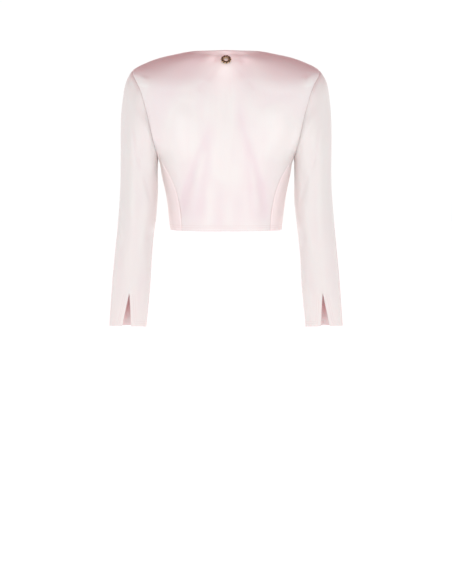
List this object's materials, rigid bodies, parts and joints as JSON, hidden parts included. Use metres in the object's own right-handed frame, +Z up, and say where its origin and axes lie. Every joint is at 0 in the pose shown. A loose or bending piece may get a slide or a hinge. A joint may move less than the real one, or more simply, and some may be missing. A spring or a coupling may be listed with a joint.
{
  "type": "bolero jacket",
  "caption": "A cropped, collarless satin jacket in pale pink, filled out as if worn and open down the front, with long set-in sleeves, a vent at the back of each cuff and a small gold ring below the back neck.",
  "frame": {"origin": "between the shoulders, midway between the two neck points at the height of the neck edge, where the wearer's shoulders carry the jacket", "axes": "+Z up, +X toward the wearer's left, +Y toward the back, so the front faces -Y"},
  "size_m": [0.556, 0.2261, 0.6493],
  "materials": {
    "satin": "pale pink satin with a soft sheen",
    "antique_gold": "polished antique gold, darkened in the grooves"
  },
  "bodies": {
    "root": {"back": "satin", "side_left": "satin", "side_right": "satin", "front_left": "satin", "front_right": "satin", "sleeve_left": "satin", "sleeve_right": "satin", "neck_ring": "antique_gold"}
  },
  "joints": []
}
